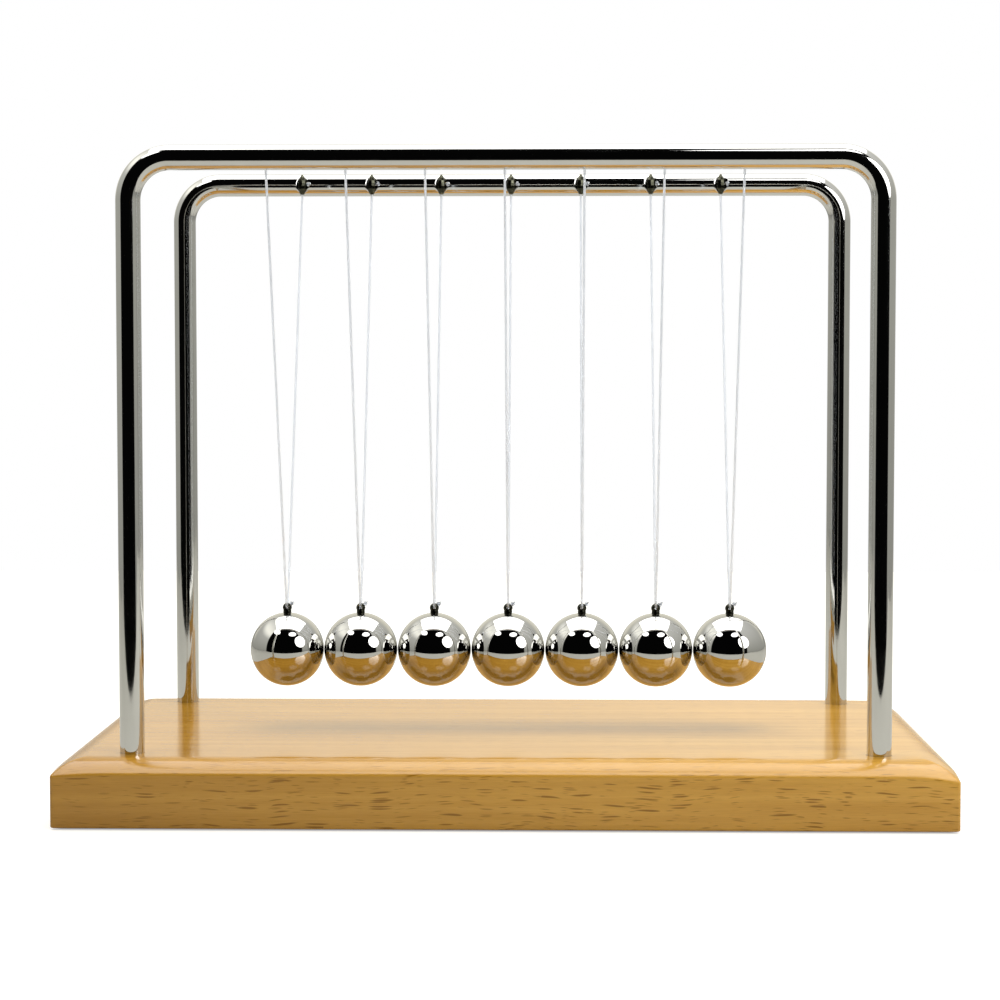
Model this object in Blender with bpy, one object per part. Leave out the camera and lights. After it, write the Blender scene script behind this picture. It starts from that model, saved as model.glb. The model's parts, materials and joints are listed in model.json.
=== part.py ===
"""Newtons cradle: seven steel balls on nylon lines, between two bent rods on a wooden board.

Metres, +Z up. The object stands on z = 0, its ball row runs along X, and its front is at -Y.
"""
import math

import bmesh
import bpy
from mathutils import Matrix, Vector

# Clearance left between pieces that touch, and how far a cutter runs past the face that it opens.
GAP = 0.0003
CUT_MARGIN = 0.002

# Balls, and the row they hang in.
BALL_COUNT = 7
BALL_RADIUS = 0.0127
BALL_PITCH = 0.02555
BALL_SEGMENTS = 28
BALL_RINGS = 14

# Board. Its top edge is a wide, shallow arc that ends in a crisp line on the upright side.
BOARD_LENGTH = 0.288
BOARD_WIDTH = 0.155
BOARD_THICKNESS = 0.0216
BOARD_CORNER_RADIUS = 0.001
BOARD_EDGE_WIDTH = 0.010
BOARD_EDGE_DROP = 0.0042
BOARD_BOTTOM_ROUND = 0.0006
BOARD_CORNER_STEPS = 3
BOARD_EDGE_STEPS = 6
BOARD_BOTTOM_STEPS = 2

# Foot pads, sunk into recesses under the board.
PAD_RADIUS = 0.007
PAD_PROUD = 0.0006
PAD_SUNK = 0.001
PAD_CHAMFER = 0.0003
PAD_SPAN_X = 0.200
PAD_SEGMENTS = 20

BOARD_BOTTOM_Z = PAD_PROUD
BOARD_TOP_Z = BOARD_BOTTOM_Z + BOARD_THICKNESS

# Rods: two bent U frames.
ROD_RADIUS = 0.004
ROD_SPAN_X = 0.241
ROD_SPAN_Y = 0.120
ROD_BEND_RADIUS = 0.0135
ROD_AXIS_Z = BOARD_TOP_Z + 0.1914
ROD_SOCKET_DEPTH = 0.009
ROD_SIDES = 20
ROD_BEND_STEPS = 6

# Screws that hold the rods from under the board.
SCREW_RADIUS = 0.002
SCREW_SHANK_LENGTH = 0.0145
SCREW_HEAD_RADIUS = 0.0037
SCREW_HEAD_HEIGHT = 0.0026
SCREW_RECESS_WIDTH = 0.0008
SCREW_RECESS_LENGTH = 0.0042
SCREW_RECESS_DEPTH = 0.0013
SCREW_CROWN_FLAT_SHARE = 0.55
SCREW_CROWN_HEIGHT_SHARE = 0.6
SCREW_CROWN_STEPS = 3
SCREW_TIP_CHAMFER = 0.0006
SCREW_HOLE_SPARE_DEPTH = 0.001
SCREW_SIDES = 16
COUNTERBORE_RADIUS = 0.0047
COUNTERBORE_DEPTH = 0.005
HOLE_SIDES = 20

# Anchors: faceted double cones on the inner faces of the rods.
ANCHOR_RADIUS = 0.00175
ANCHOR_TIP_RADIUS = 0.00035
ANCHOR_HALF_HEIGHT = 0.0036
ANCHOR_SIDES = 8
ANCHOR_INSET = 0.0034

# Lugs on the balls. Heights are measured from the top of the ball.
LUG_RADIUS = 0.00145
LUG_FOOT_RADIUS = 0.0013
LUG_FOOT_HEIGHT = 0.0008
LUG_HEIGHT = 0.0034
LUG_CROWN_DEGREES = 80.0
LUG_CROWN_STEPS = 4
LUG_SPIGOT_RADIUS = 0.001
LUG_SPIGOT_LENGTH = 0.0035
LUG_HOLE_RADIUS = 0.0007
LUG_HOLE_HEIGHT = 0.0018
LUG_HOLE_SIDES = 12
LUG_SIDES = 14

# Suspension lines. Each is straight down to the lug and then bends through its cross hole. The bend's points
# are (outwards along Y from the lug's middle, up from the hole's middle), from the straight part inwards.
LINE_RADIUS = 0.00025
LINE_TOP_GAP = 0.0006
LINE_BEND = ((0.0031, 0.0031), (0.0022, 0.0009), (0.0015, 0.0001), (0.0008, 0.0))

# Heights and places worked out from the sizes above.
BALL_Z = BOARD_TOP_Z + 0.0268
LINE_END_Y = ROD_SPAN_Y / 2 - ANCHOR_INSET
PIVOT_Z = ROD_AXIS_Z - ANCHOR_HALF_HEIGHT
LUG_HOLE_Z = BALL_Z + BALL_RADIUS + LUG_HOLE_HEIGHT


def clear_scene():
    """Remove every object that the file opened with."""
    for obj in list(bpy.data.objects):
        bpy.data.objects.remove(obj, do_unlink=True)


def make_material(name, colour, roughness, metallic):
    """A Principled material with one plain colour."""
    material = bpy.data.materials.new(name)
    material.use_nodes = True
    shader = material.node_tree.nodes["Principled BSDF"]
    shader.inputs["Base Color"].default_value = (*colour, 1.0)
    shader.inputs["Roughness"].default_value = roughness
    shader.inputs["Metallic"].default_value = metallic
    material.diffuse_color = (*colour, 1.0)
    return material


def link_mesh(name, bm, material, smooth=True, sharp_degrees=35.0):
    """Turn a bmesh into a linked, named object with its material."""
    bmesh.ops.recalc_face_normals(bm, faces=bm.faces)
    mesh = bpy.data.meshes.new(name)
    bm.to_mesh(mesh)
    bm.free()
    if smooth:
        mesh.shade_smooth()
        mesh.set_sharp_from_angle(angle=math.radians(sharp_degrees))
    if material:
        mesh.materials.append(material)
    obj = bpy.data.objects.new(name, mesh)
    bpy.context.collection.objects.link(obj)
    return obj


def cutter(name, bm):
    """A hidden guide that a Boolean modifier cuts with."""
    obj = link_mesh(name, bm, None, smooth=False)
    obj.hide_render = True
    obj.display_type = "WIRE"
    return obj


def cut(target, tool):
    """Cut the tool out of the target with an exact Boolean."""
    modifier = target.modifiers.new("cut_" + tool.name, "BOOLEAN")
    modifier.operation = "DIFFERENCE"
    modifier.solver = "EXACT"
    modifier.object = tool


def add_lathe(bm, profile, sides, centre=(0.0, 0.0, 0.0)):
    """Add a solid of revolution about +Z. The profile holds (radius, height) from bottom to top."""
    rings = []
    for radius, height in profile:
        ring = []
        for i in range(sides):
            angle = 2.0 * math.pi * i / sides
            offset = Vector((radius * math.cos(angle), radius * math.sin(angle), height))
            ring.append(bm.verts.new(Vector(centre) + offset))
        rings.append(ring)
    for lower, upper in zip(rings, rings[1:]):
        for i in range(sides):
            j = (i + 1) % sides
            bm.faces.new((lower[i], lower[j], upper[j], upper[i]))
    bm.faces.new(list(reversed(rings[0])))
    bm.faces.new(rings[-1])


def add_cylinder(bm, radius, low_z, high_z, sides, x=0.0, y=0.0):
    """Add an upright cylinder between two heights."""
    add_lathe(bm, [(radius, low_z), (radius, high_z)], sides, centre=(x, y, 0.0))


def add_tube(bm, points, radius, sides, across):
    """Sweep a circle along a flat path. The path lies in the plane whose normal is `across`."""
    rings = []
    for i, point in enumerate(points):
        before = points[max(i - 1, 0)]
        after = points[min(i + 1, len(points) - 1)]
        incoming = (point - before).normalized() if i > 0 else (after - point).normalized()
        outgoing = (after - point).normalized() if i < len(points) - 1 else incoming
        tangent = (incoming + outgoing).normalized()
        stretch = 1.0 / max(tangent.dot(incoming), 0.2)
        side = tangent.cross(across).normalized()
        ring = []
        for k in range(sides):
            angle = 2.0 * math.pi * k / sides
            offset = side * (math.cos(angle) * radius * stretch) + across * (math.sin(angle) * radius)
            ring.append(bm.verts.new(point + offset))
        rings.append(ring)
    for first, second in zip(rings, rings[1:]):
        for k in range(sides):
            m = (k + 1) % sides
            bm.faces.new((first[k], first[m], second[m], second[k]))
    bm.faces.new(list(reversed(rings[0])))
    bm.faces.new(rings[-1])


def rounded_rectangle(length, width, radius, steps):
    """Corner-rounded rectangle outline, anticlockwise, centred on the origin."""
    outline = []
    corners = [(1, 1, 0.0), (-1, 1, 0.5), (-1, -1, 1.0), (1, -1, 1.5)]
    for sign_x, sign_y, start in corners:
        centre_x = sign_x * (length / 2 - radius)
        centre_y = sign_y * (width / 2 - radius)
        for i in range(steps + 1):
            angle = math.pi * (start + 0.5 * i / steps)
            outline.append((centre_x + radius * math.cos(angle), centre_y + radius * math.sin(angle)))
    return outline


def board_levels():
    """(inset, height) pairs from the underside to the top, with its eased foot and its arched top edge."""
    levels = []
    for i in range(BOARD_BOTTOM_STEPS + 1):
        angle = 0.5 * math.pi * i / BOARD_BOTTOM_STEPS
        inset = BOARD_BOTTOM_ROUND * (1.0 - math.sin(angle))
        levels.append((inset, BOARD_BOTTOM_Z + BOARD_BOTTOM_ROUND * (1.0 - math.cos(angle))))
    sweep = 2.0 * math.atan2(BOARD_EDGE_DROP, BOARD_EDGE_WIDTH)
    radius = BOARD_EDGE_WIDTH / math.sin(sweep)
    for i in range(BOARD_EDGE_STEPS + 1):
        angle = sweep * (1.0 - i / BOARD_EDGE_STEPS)
        inset = BOARD_EDGE_WIDTH - radius * math.sin(angle)
        levels.append((inset, BOARD_TOP_Z - radius * (1.0 - math.cos(angle))))
    return levels


def rod_feet():
    """(name, x, y) of the four rod legs."""
    feet = []
    for row, sign_y in (("front", -1), ("rear", 1)):
        for side, sign_x in (("left", -1), ("right", 1)):
            feet.append((row + "_" + side, sign_x * ROD_SPAN_X / 2, sign_y * ROD_SPAN_Y / 2))
    return feet


def pad_places():
    """(name, x, y) of the four foot pads."""
    places = []
    for name, x, y in rod_feet():
        places.append((name, math.copysign(PAD_SPAN_X / 2, x), y))
    return places


def make_board(material):
    """The board with its rod sockets, screw holes, counterbores and pad recesses."""
    bm = bmesh.new()
    rings = []
    for inset, height in board_levels():
        length = BOARD_LENGTH - 2 * inset
        width = BOARD_WIDTH - 2 * inset
        outline = rounded_rectangle(length, width, BOARD_CORNER_RADIUS, BOARD_CORNER_STEPS)
        rings.append([bm.verts.new((x, y, height)) for x, y in outline])
    count = len(rings[0])
    for lower, upper in zip(rings, rings[1:]):
        for i in range(count):
            j = (i + 1) % count
            bm.faces.new((lower[i], lower[j], upper[j], upper[i]))
    bm.faces.new(list(reversed(rings[0])))
    bm.faces.new(rings[-1])
    board = link_mesh("base_board", bm, material)

    tool = bmesh.new()
    socket_floor = BOARD_TOP_Z - ROD_SOCKET_DEPTH
    counterbore_top = BOARD_BOTTOM_Z + COUNTERBORE_DEPTH
    for _, x, y in rod_feet():
        profile = [
            (COUNTERBORE_RADIUS, BOARD_BOTTOM_Z - CUT_MARGIN),
            (COUNTERBORE_RADIUS, counterbore_top),
            (SCREW_RADIUS + GAP, counterbore_top),
            (SCREW_RADIUS + GAP, socket_floor),
            (ROD_RADIUS + GAP, socket_floor),
            (ROD_RADIUS + GAP, BOARD_TOP_Z + CUT_MARGIN),
        ]
        add_lathe(tool, profile, HOLE_SIDES, centre=(x, y, 0.0))
    for _, x, y in pad_places():
        recess_top = BOARD_BOTTOM_Z + PAD_SUNK + GAP
        recess_mouth = BOARD_BOTTOM_Z - CUT_MARGIN
        add_cylinder(tool, PAD_RADIUS + GAP, recess_mouth, recess_top, PAD_SEGMENTS, x, y)
    cut(board, cutter("board_holes", tool))


def rod_path(y):
    """Centre line of one bent rod, from the left foot over the top to the right foot."""
    foot_z = BOARD_TOP_Z - ROD_SOCKET_DEPTH + GAP
    half = ROD_SPAN_X / 2
    points = [Vector((-half, y, foot_z))]
    for sign, start, end in ((-1, math.pi, 0.5 * math.pi), (1, 0.5 * math.pi, 0.0)):
        centre = Vector((sign * (half - ROD_BEND_RADIUS), y, ROD_AXIS_Z - ROD_BEND_RADIUS))
        for i in range(ROD_BEND_STEPS + 1):
            angle = start + (end - start) * i / ROD_BEND_STEPS
            points.append(centre + ROD_BEND_RADIUS * Vector((math.cos(angle), 0.0, math.sin(angle))))
    points.append(Vector((half, y, foot_z)))
    return points


def anchor_profile(margin=0.0):
    """Double-cone outline of an anchor, grown evenly by a margin."""
    return [
        (ANCHOR_TIP_RADIUS + margin, -ANCHOR_HALF_HEIGHT - margin),
        (ANCHOR_RADIUS + margin, 0.0),
        (ANCHOR_TIP_RADIUS + margin, ANCHOR_HALF_HEIGHT + margin),
    ]


def ball_x(index):
    """Place of ball number `index`, counted from 0 at the left."""
    return (index - (BALL_COUNT - 1) / 2) * BALL_PITCH


def make_rod(name, sign_y, material):
    """One bent rod, notched for its seven anchors and drilled up both legs for the screws."""
    y = sign_y * ROD_SPAN_Y / 2
    bm = bmesh.new()
    add_tube(bm, rod_path(y), ROD_RADIUS, ROD_SIDES, Vector((0.0, 1.0, 0.0)))
    rod = link_mesh(name, bm, material)

    tool = bmesh.new()
    for i in range(BALL_COUNT):
        centre = (ball_x(i), sign_y * LINE_END_Y, ROD_AXIS_Z)
        add_lathe(tool, anchor_profile(GAP), ANCHOR_SIDES, centre=centre)
    hole_mouth = BOARD_TOP_Z - ROD_SOCKET_DEPTH - CUT_MARGIN
    screw_tip = BOARD_BOTTOM_Z + COUNTERBORE_DEPTH + SCREW_SHANK_LENGTH
    hole_end = screw_tip + SCREW_HOLE_SPARE_DEPTH
    for side in (-1, 1):
        add_cylinder(tool, SCREW_RADIUS + GAP, hole_mouth, hole_end, HOLE_SIDES, side * ROD_SPAN_X / 2, y)
    cut(rod, cutter(name + "_holes", tool))


def make_anchor(name, x, sign_y, material):
    """One faceted double-cone anchor."""
    bm = bmesh.new()
    add_lathe(bm, anchor_profile(), ANCHOR_SIDES)
    anchor = link_mesh(name, bm, material, smooth=False)
    anchor.location = (x, sign_y * LINE_END_Y, ROD_AXIS_Z)


def make_screw(name, x, y, material):
    """Pan-head screw with a cross recess, standing head down in its counterbore."""
    bearing_z = COUNTERBORE_DEPTH - GAP
    head_z = bearing_z - SCREW_HEAD_HEIGHT
    bm = bmesh.new()
    flat_radius = SCREW_HEAD_RADIUS * SCREW_CROWN_FLAT_SHARE
    crown_height = SCREW_HEAD_HEIGHT * SCREW_CROWN_HEIGHT_SHARE
    profile = [(flat_radius, head_z)]
    for i in range(1, SCREW_CROWN_STEPS + 1):
        angle = 0.5 * math.pi * i / SCREW_CROWN_STEPS
        radius = flat_radius + (SCREW_HEAD_RADIUS - flat_radius) * math.sin(angle)
        profile.append((radius, head_z + crown_height * (1.0 - math.cos(angle))))
    tip_z = bearing_z + SCREW_SHANK_LENGTH
    profile += [
        (SCREW_HEAD_RADIUS, bearing_z),
        (SCREW_RADIUS, bearing_z),
        (SCREW_RADIUS, tip_z - SCREW_TIP_CHAMFER),
        (SCREW_RADIUS - SCREW_TIP_CHAMFER, tip_z),
    ]
    add_lathe(bm, profile, SCREW_SIDES)
    screw = link_mesh(name, bm, material)
    screw.location = (x, y, BOARD_BOTTOM_Z)

    tool = bmesh.new()
    half_width = SCREW_RECESS_WIDTH / 2
    half_length = SCREW_RECESS_LENGTH / 2
    arm_corners = ((half_length, -half_width), (half_length, half_width), (half_width, half_width))
    outline = []
    for quarter in range(4):
        turn = Matrix.Rotation(0.5 * math.pi * quarter, 3, "Z")
        for corner in arm_corners:
            outline.append(turn @ Vector((*corner, 0.0)))
    floor = Vector((x, y, BOARD_BOTTOM_Z + head_z + SCREW_RECESS_DEPTH))
    mouth = Vector((x, y, BOARD_BOTTOM_Z + head_z - SCREW_RECESS_DEPTH))
    upper = [tool.verts.new(floor + point) for point in outline]
    lower = [tool.verts.new(mouth + point) for point in outline]
    for i in range(len(outline)):
        j = (i + 1) % len(outline)
        tool.faces.new((lower[i], lower[j], upper[j], upper[i]))
    tool.faces.new(upper)
    tool.faces.new(list(reversed(lower)))
    cut(screw, cutter(name + "_recess", tool))


def make_pad(name, x, y, material):
    """Round rubber pad with a small chamfer where it meets the table."""
    top = BOARD_BOTTOM_Z + PAD_SUNK
    bm = bmesh.new()
    profile = [(PAD_RADIUS - PAD_CHAMFER, 0.0), (PAD_RADIUS, PAD_CHAMFER), (PAD_RADIUS, top)]
    add_lathe(bm, profile, PAD_SEGMENTS)
    pad = link_mesh(name, bm, material)
    pad.location = (x, y, 0.0)


def lug_profile():
    """Outline of a lug: spigot, narrower foot and rounded head, measured from the ball's top."""
    crown_base = LUG_HEIGHT - LUG_RADIUS
    profile = [
        (LUG_SPIGOT_RADIUS, -LUG_SPIGOT_LENGTH),
        (LUG_SPIGOT_RADIUS, GAP),
        (LUG_FOOT_RADIUS, GAP),
        (LUG_RADIUS, LUG_FOOT_HEIGHT),
        (LUG_RADIUS, crown_base),
    ]
    for i in range(1, LUG_CROWN_STEPS + 1):
        angle = math.radians(LUG_CROWN_DEGREES) * i / LUG_CROWN_STEPS
        profile.append((LUG_RADIUS * math.cos(angle), crown_base + LUG_RADIUS * math.sin(angle)))
    return profile


def make_ball(name, pivot, x, material):
    """Solid ball with a blind hole in its top for the lug."""
    bm = bmesh.new()
    bmesh.ops.create_uvsphere(
        bm,
        u_segments=BALL_SEGMENTS,
        v_segments=BALL_RINGS,
        radius=BALL_RADIUS,
        matrix=Matrix.Translation((0.0, 0.0, BALL_Z - PIVOT_Z)),
    )
    ball = link_mesh(name, bm, material)
    ball.parent = pivot

    tool = bmesh.new()
    top_z = BALL_Z + BALL_RADIUS
    floor_z = top_z - LUG_SPIGOT_LENGTH - GAP
    add_cylinder(tool, LUG_SPIGOT_RADIUS + GAP, floor_z, top_z + CUT_MARGIN, LUG_SIDES, x)
    cut(ball, cutter(name + "_hole", tool))


def make_lug(name, pivot, x, material):
    """Turned lug with a cross hole along Y for the line."""
    bm = bmesh.new()
    add_lathe(bm, lug_profile(), LUG_SIDES, centre=(0.0, 0.0, BALL_Z + BALL_RADIUS - PIVOT_Z))
    lug = link_mesh(name, bm, material)
    lug.parent = pivot

    tool = bmesh.new()
    reach = LUG_RADIUS + CUT_MARGIN
    add_cylinder(tool, LUG_HOLE_RADIUS, -reach, reach, LUG_HOLE_SIDES)
    turn = Matrix.Rotation(0.5 * math.pi, 4, "X")
    bmesh.ops.transform(tool, matrix=Matrix.Translation((x, 0.0, LUG_HOLE_Z)) @ turn, verts=tool.verts)
    cut(lug, cutter(name + "_hole", tool))


def make_line(name, pivot, material):
    """One nylon line: front anchor, through the lug, rear anchor. A curve with filled caps."""
    bottom = LUG_HOLE_Z - PIVOT_Z
    half_route = [(LINE_END_Y, -LINE_TOP_GAP)]
    half_route += [(out, bottom + up) for out, up in LINE_BEND]
    route = [(-y, z) for y, z in half_route]
    route += list(reversed(half_route))
    curve = bpy.data.curves.new(name, "CURVE")
    curve.dimensions = "3D"
    curve.bevel_depth = LINE_RADIUS
    curve.bevel_resolution = 2
    curve.use_fill_caps = True
    curve.materials.append(material)
    spline = curve.splines.new("POLY")
    spline.points.add(len(route) - 1)
    for point, (y, z) in zip(spline.points, route):
        point.co = (0.0, y, z, 1.0)
    line = bpy.data.objects.new(name, curve)
    bpy.context.collection.objects.link(line)
    line.parent = pivot


def make_pivot(index):
    """Empty on the swing axis of one ball, level with the lower tips of its anchors."""
    pivot = bpy.data.objects.new("pivot_" + str(index + 1), None)
    pivot.empty_display_size = 0.01
    pivot.location = (ball_x(index), 0.0, PIVOT_Z)
    bpy.context.collection.objects.link(pivot)
    return pivot


def build():
    """Make every piece of the cradle."""
    clear_scene()
    beech = make_material("lacquered_beech", (0.62, 0.40, 0.19), 0.35, 0.0)
    chrome = make_material("chromed_rod", (0.80, 0.80, 0.80), 0.06, 1.0)
    ball_steel = make_material("polished_ball", (0.78, 0.78, 0.77), 0.04, 1.0)
    dark_steel = make_material("blackened_steel", (0.05, 0.05, 0.045), 0.35, 1.0)
    nylon = make_material("clear_nylon", (0.85, 0.87, 0.87), 0.15, 0.0)
    zinc = make_material("plated_screw", (0.62, 0.62, 0.60), 0.30, 1.0)
    rubber = make_material("black_rubber", (0.03, 0.03, 0.03), 0.80, 0.0)

    make_board(beech)
    for name, x, y in rod_feet():
        make_screw("rod_screw_" + name, x, y, zinc)
    for name, x, y in pad_places():
        make_pad("foot_pad_" + name, x, y, rubber)
    for row, sign_y in (("front", -1), ("rear", 1)):
        make_rod(row + "_rod", sign_y, chrome)
        for i in range(BALL_COUNT):
            make_anchor("line_anchor_" + row + "_" + str(i + 1), ball_x(i), sign_y, dark_steel)
    for i in range(BALL_COUNT):
        number = str(i + 1)
        pivot = make_pivot(i)
        make_ball("ball_" + number, pivot, ball_x(i), ball_steel)
        make_lug("ball_lug_" + number, pivot, ball_x(i), dark_steel)
        make_line("line_" + number, pivot, nylon)


build()
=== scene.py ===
"""Finished look of the newtons cradle.

Chromed rods, polished balls, clear nylon lines and a lacquered beech board. Sizes and places come from the
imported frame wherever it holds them. Metres, +Z up, front at -Y.
"""
import json
import math

import bmesh
import bpy
from mathutils import Matrix, Vector


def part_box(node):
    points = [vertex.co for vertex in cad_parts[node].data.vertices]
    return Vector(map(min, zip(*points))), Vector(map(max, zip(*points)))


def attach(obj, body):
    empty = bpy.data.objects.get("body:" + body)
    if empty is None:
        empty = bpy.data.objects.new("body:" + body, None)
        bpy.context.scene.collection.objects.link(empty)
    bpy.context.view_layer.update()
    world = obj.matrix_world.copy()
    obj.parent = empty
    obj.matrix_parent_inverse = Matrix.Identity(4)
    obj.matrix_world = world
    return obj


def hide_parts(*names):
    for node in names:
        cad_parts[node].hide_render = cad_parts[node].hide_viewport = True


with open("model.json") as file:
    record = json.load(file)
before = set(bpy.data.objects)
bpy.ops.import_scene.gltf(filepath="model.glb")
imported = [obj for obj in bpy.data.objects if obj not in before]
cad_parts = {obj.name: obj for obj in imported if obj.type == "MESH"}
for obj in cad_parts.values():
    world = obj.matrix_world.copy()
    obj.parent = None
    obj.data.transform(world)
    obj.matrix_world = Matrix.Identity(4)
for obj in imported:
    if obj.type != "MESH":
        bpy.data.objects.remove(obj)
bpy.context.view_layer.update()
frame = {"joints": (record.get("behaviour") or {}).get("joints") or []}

# ---------------------------------------------------------------- sizes from the frame

BALL_COUNT = 7
ROWS = (("front", -1), ("rear", 1))
SIDES = (("left", -1), ("right", 1))


def low_high(node):
    """Lowest and highest corners of a CAD node."""
    low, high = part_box(node)
    return Vector(low), Vector(high)


def middle(node):
    """Centre of a CAD node's box."""
    low, high = low_high(node)
    return (low + high) / 2


def extent(node):
    """Size of a CAD node's box along X, Y and Z."""
    low, high = low_high(node)
    return high - low


ball_radius = extent("ball_1").x / 2
ball_xs = [middle("ball_" + str(i + 1)).x for i in range(BALL_COUNT)]
ball_z = low_high("ball_1")[0].z + ball_radius
ball_top = ball_z + ball_radius
pivot_z = frame["joints"][0]["pos_m"][2]

board_low, board_high = low_high("base_board")
rod_low, rod_high = low_high("front_rod")
rod_radius = extent("front_rod").y / 2
rod_half_span = rod_high.x - rod_radius
rod_axis_z = rod_high.z - rod_radius
rod_row_y = middle("rear_rod").y
anchor_y = middle("line_anchor_rear_1").y
anchor_half_height = extent("line_anchor_rear_1").z / 2
anchor_radius = extent("line_anchor_rear_1").x / 2
lug_top = low_high("ball_lug_1")[1].z - ball_top
line_radius = extent("line_1").x / 2
hole_z = low_high("line_1")[0].z + line_radius
pad_radius = extent("foot_pad_front_left").x / 2
pad_top = low_high("foot_pad_front_left")[1].z

# ---------------------------------------------------------------- camera

CAMERA_PLACE = (0.0159, -0.8364, board_high.z + 0.1246)
CAMERA_DOWN_DEGREES = 3.14
CAMERA_LEFT_DEGREES = 1.28
CAMERA_LENS = 87.26

camera_data = bpy.data.cameras.new("camera")
camera_data.lens = CAMERA_LENS
camera_data.sensor_width = 36.0
camera_data.clip_start = 0.01
camera = bpy.data.objects.new("camera", camera_data)
camera.location = CAMERA_PLACE
camera.rotation_euler = (math.radians(90.0 - CAMERA_DOWN_DEGREES), 0.0, math.radians(CAMERA_LEFT_DEGREES))
bpy.context.collection.objects.link(camera)
bpy.context.scene.camera = camera

# ---------------------------------------------------------------- mesh helpers


def finish_mesh(name, bm, material, smooth=True, sharp_degrees=32.0):
    """Turn a bmesh into a linked object."""
    bmesh.ops.recalc_face_normals(bm, faces=bm.faces)
    mesh = bpy.data.meshes.new(name)
    bm.to_mesh(mesh)
    bm.free()
    mesh.materials.append(material)
    obj = bpy.data.objects.new(name, mesh)
    bpy.context.collection.objects.link(obj)
    if smooth:
        sharpen(obj, sharp_degrees)
    return obj


def sharpen(obj, degrees):
    """Shade a piece smooth, with edges sharper than an angle kept crisp."""
    obj.data.shade_smooth()
    obj.data.set_sharp_from_angle(angle=math.radians(degrees))


def join_rings(bm, rings):
    """Faces between rings of vertices, in order. A ring of one vertex is a pole."""
    for first, second in zip(rings, rings[1:]):
        count = max(len(first), len(second))
        for i in range(count):
            j = (i + 1) % count
            near = [first[i % len(first)], first[j % len(first)]]
            far = [second[j % len(second)], second[i % len(second)]]
            bm.faces.new(list(dict.fromkeys(near + far)))


def skin(bm, rings):
    """Joined rings with a flat cap on each open end."""
    join_rings(bm, rings)
    if len(rings[0]) > 1:
        bm.faces.new(list(reversed(rings[0])))
    if len(rings[-1]) > 1:
        bm.faces.new(rings[-1])


def lathe(bm, profile, sides, centre=(0.0, 0.0, 0.0)):
    """Solid of revolution about +Z from (radius, height) pairs. A radius of 0 is a pole."""
    origin = Vector(centre)
    rings = []
    for radius, height in profile:
        if radius == 0.0:
            rings.append([bm.verts.new(origin + Vector((0.0, 0.0, height)))])
            continue
        ring = []
        for i in range(sides):
            angle = 2.0 * math.pi * i / sides
            offset = Vector((radius * math.cos(angle), radius * math.sin(angle), height))
            ring.append(bm.verts.new(origin + offset))
        rings.append(ring)
    skin(bm, rings)


def tube(bm, points, radius, sides, closed=False):
    """Sweep a circle along any path, turning it as little as possible from point to point."""
    count = len(points)
    side = None
    rings = []
    for i, point in enumerate(points):
        if closed:
            forward = points[(i + 1) % count] - points[i - 1]
        else:
            forward = points[min(i + 1, count - 1)] - points[max(i - 1, 0)]
        forward.normalize()
        if side is None:
            side = forward.orthogonal().normalized()
        side = (side - forward * side.dot(forward)).normalized()
        up = forward.cross(side)
        ring = []
        for k in range(sides):
            angle = 2.0 * math.pi * k / sides
            ring.append(bm.verts.new(point + (side * math.cos(angle) + up * math.sin(angle)) * radius))
        rings.append(ring)
    if closed:
        rings.append(best_turned(rings[-1], rings[0]))
        join_rings(bm, rings)
    else:
        skin(bm, rings)


def best_turned(last, first):
    """The first ring, turned so that it meets the last one without a twist."""
    count = len(first)
    costs = []
    for turn in range(count):
        costs.append(sum((last[k].co - first[(k + turn) % count].co).length for k in range(count)))
    turn = costs.index(min(costs))
    return [first[(k + turn) % count] for k in range(count)]


def curve_through(points, per_span):
    """Smooth route through a few points."""
    route = []
    padded = [points[0]] + list(points) + [points[-1]]
    for a, b, c, d in zip(padded, padded[1:], padded[2:], padded[3:]):
        for i in range(per_span):
            t = i / per_span
            square = (2 * a - 5 * b + 4 * c - d) * t * t
            cube = (3 * b - a - 3 * c + d) * t ** 3
            route.append(0.5 * (2 * b + (c - a) * t + square + cube))
    route.append(points[-1].copy())
    return route


def cut(target, name, tool_bm):
    """Cut a tool out of a piece for good, and drop the tool."""
    bmesh.ops.recalc_face_normals(tool_bm, faces=tool_bm.faces)
    tool_mesh = bpy.data.meshes.new(name)
    tool_bm.to_mesh(tool_mesh)
    tool_bm.free()
    tool = bpy.data.objects.new(name, tool_mesh)
    bpy.context.collection.objects.link(tool)
    modifier = target.modifiers.new(name, "BOOLEAN")
    modifier.operation = "DIFFERENCE"
    modifier.solver = "EXACT"
    modifier.object = tool
    bpy.context.view_layer.update()
    evaluated = target.evaluated_get(bpy.context.evaluated_depsgraph_get())
    cut_mesh = bpy.data.meshes.new_from_object(evaluated)
    target.modifiers.clear()
    target.data = cut_mesh
    bpy.data.objects.remove(tool, do_unlink=True)


def place_piece(obj, body, slot, *nodes):
    """Ride a finished piece on its body, and let it stand for its CAD nodes."""
    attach(obj, body)
    if nodes:
        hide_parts(*nodes)


# ---------------------------------------------------------------- material helpers


def new_material(name):
    """A material, its node tree, its Principled shader and the piece's own coordinates."""
    material = bpy.data.materials.new(name)
    material.use_nodes = True
    tree = material.node_tree
    position = tree.nodes.new("ShaderNodeTexCoord").outputs["Object"]
    return material, tree, tree.nodes["Principled BSDF"], position


def feed(tree, value, socket):
    """Link a socket, or set a plain value."""
    if isinstance(value, bpy.types.NodeSocket):
        tree.links.new(value, socket)
    else:
        socket.default_value = value


def noise(tree, vector, scale, detail=4.0, roughness=0.5):
    """Noise node over a vector. It gives a value as Fac and three parts as Color."""
    node = tree.nodes.new("ShaderNodeTexNoise")
    node.inputs["Scale"].default_value = scale
    node.inputs["Detail"].default_value = detail
    node.inputs["Roughness"].default_value = roughness
    tree.links.new(vector, node.inputs["Vector"])
    return node


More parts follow.
